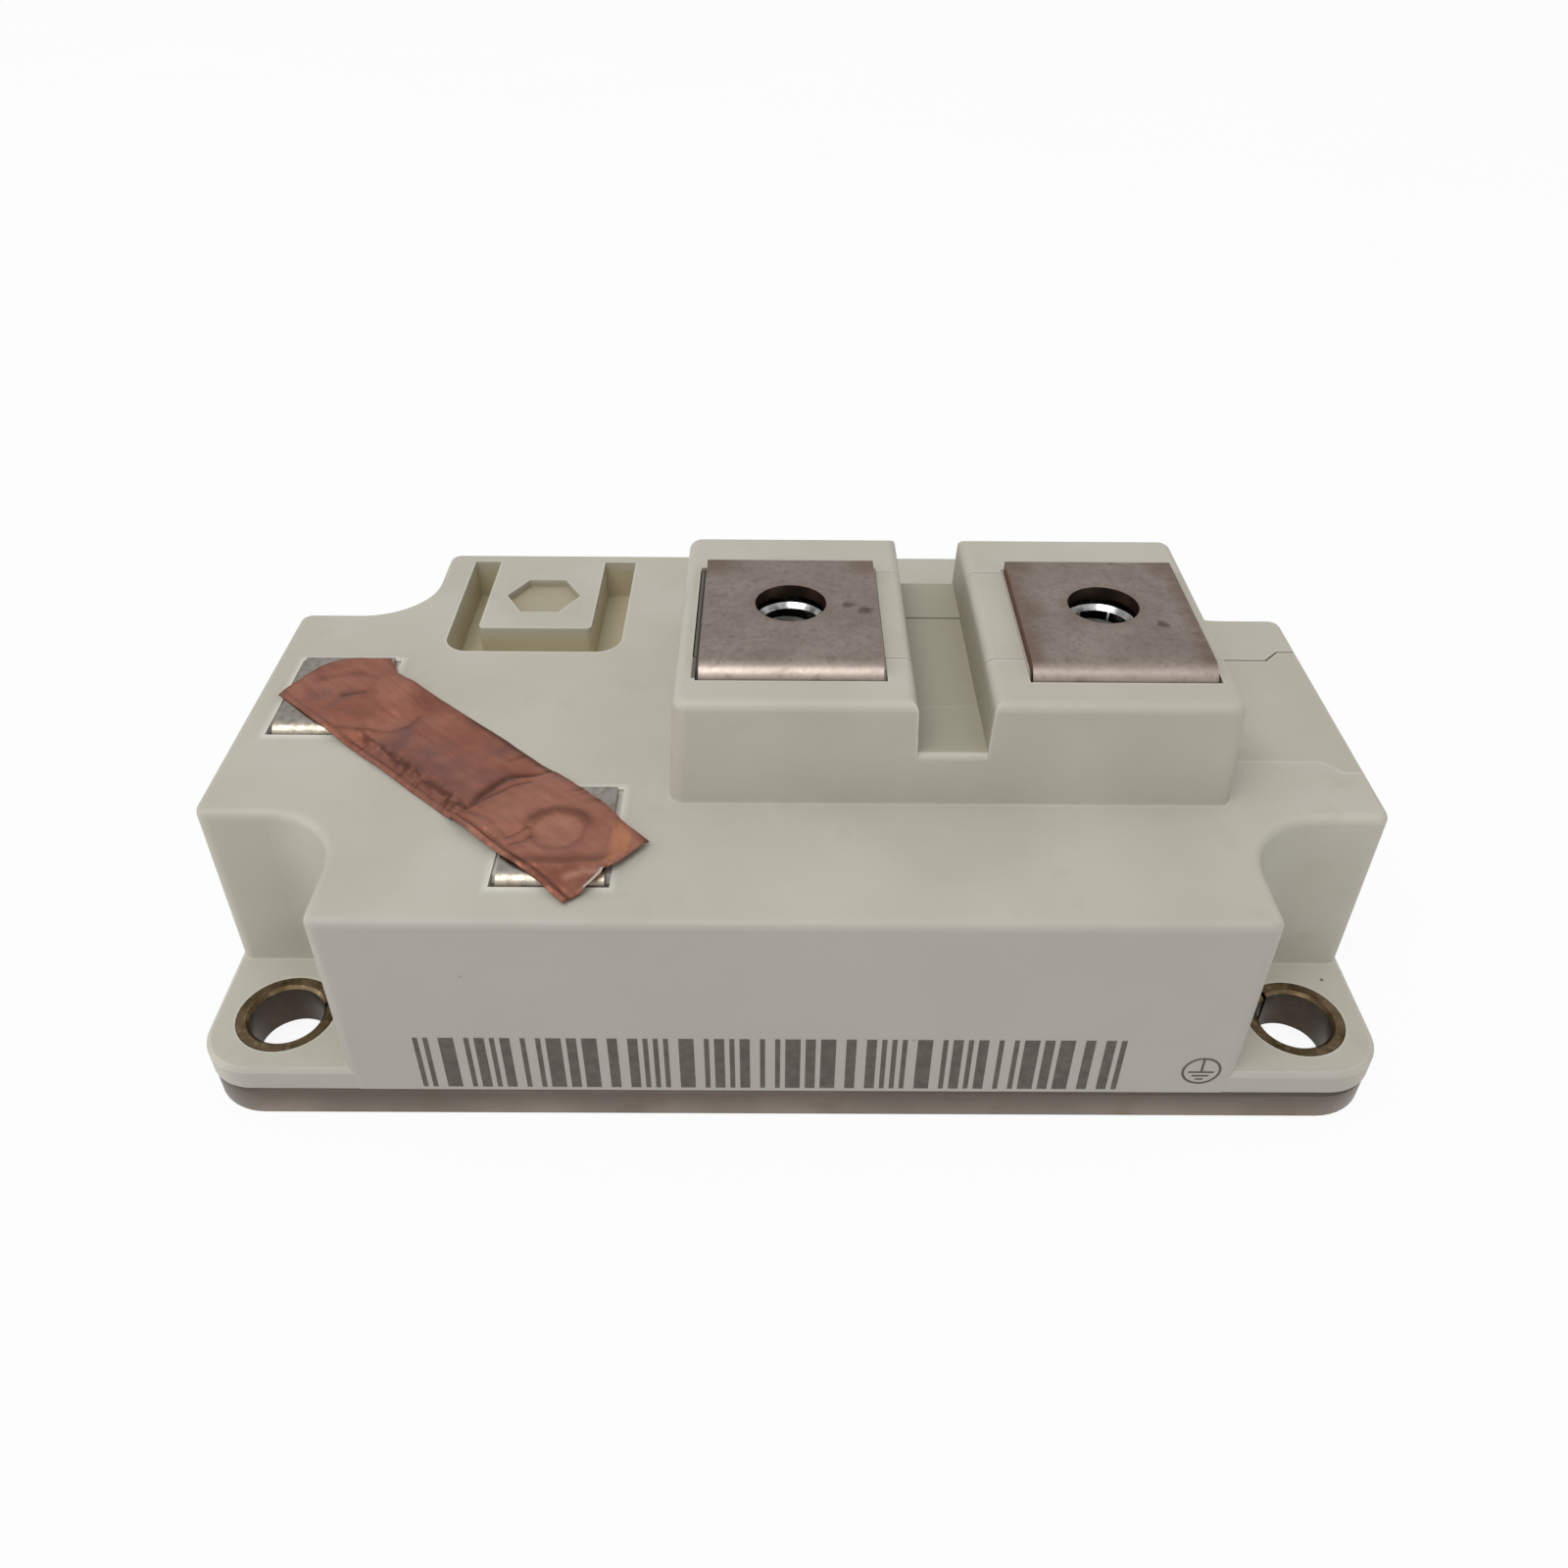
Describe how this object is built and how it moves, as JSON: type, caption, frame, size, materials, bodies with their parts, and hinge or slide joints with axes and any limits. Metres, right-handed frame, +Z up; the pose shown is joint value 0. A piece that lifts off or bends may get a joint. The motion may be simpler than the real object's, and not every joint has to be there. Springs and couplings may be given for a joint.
{
  "type": "igbt module",
  "caption": "Single-switch power semiconductor module: nickel-plated baseplate, moulded housing, screw terminals on a raised block, foil strip shorting the control terminals",
  "frame": {"origin": "bottom centre of the baseplate, on the face that meets the heatsink", "axes": "+X along the length towards the end with the terminal block, +Y towards the rear long side, +Z up from the heatsink"},
  "size_m": [0.1064, 0.0614, 0.0353],
  "materials": {
    "housing": "fine moulded",
    "baseplate": "nickel plated copper, dull",
    "terminal": "tarnished nickel plated copper",
    "control_terminal": "bright tin plated copper",
    "bush": "yellow passivated steel",
    "nut": "bright zinc plated steel",
    "foil": "thin copper film",
    "adhesive": "cured silicone adhesive",
    "gel": "clear silicone gel",
    "solder": "soft solder",
    "copper": "bare copper",
    "ceramic": "white alumina",
    "chip": "metallised silicon",
    "wire": "drawn aluminium"
  },
  "bodies": {
    "root": {"baseplate": "baseplate", "sealing_adhesive": "adhesive", "housing": "housing", "nut_carrier": "housing", "collector_terminal": "terminal", "emitter_terminal": "terminal", "gate_terminal": "control_terminal", "sense_terminal": "control_terminal", "collector_nut": "nut", "emitter_nut": "nut", "gate_nut": "nut", "sense_nut": "nut", "shorting_foil": "foil", "silicone_gel": "gel", "bush_front_left": "bush", "bush_front_right": "bush", "bush_rear_left": "bush", "bush_rear_right": "bush", "solder_left": "solder", "bottom_copper_left": "copper", "ceramic_left": "ceramic", "tracks_left": "copper", "igbt_chip_front_left": "chip", "igbt_chip_rear_left": "chip", "diode_chip_front_left": "chip", "diode_chip_rear_left": "chip", "gate_resistor_left": "chip", "bond_wires_left": "wire", "solder_right": "solder", "bottom_copper_right": "copper", "ceramic_right": "ceramic", "tracks_right": "copper", "igbt_chip_front_right": "chip", "igbt_chip_rear_right": "chip", "diode_chip_front_right": "chip", "diode_chip_rear_right": "chip", "gate_resistor_right": "chip", "bond_wires_right": "wire"}
  },
  "joints": []
}
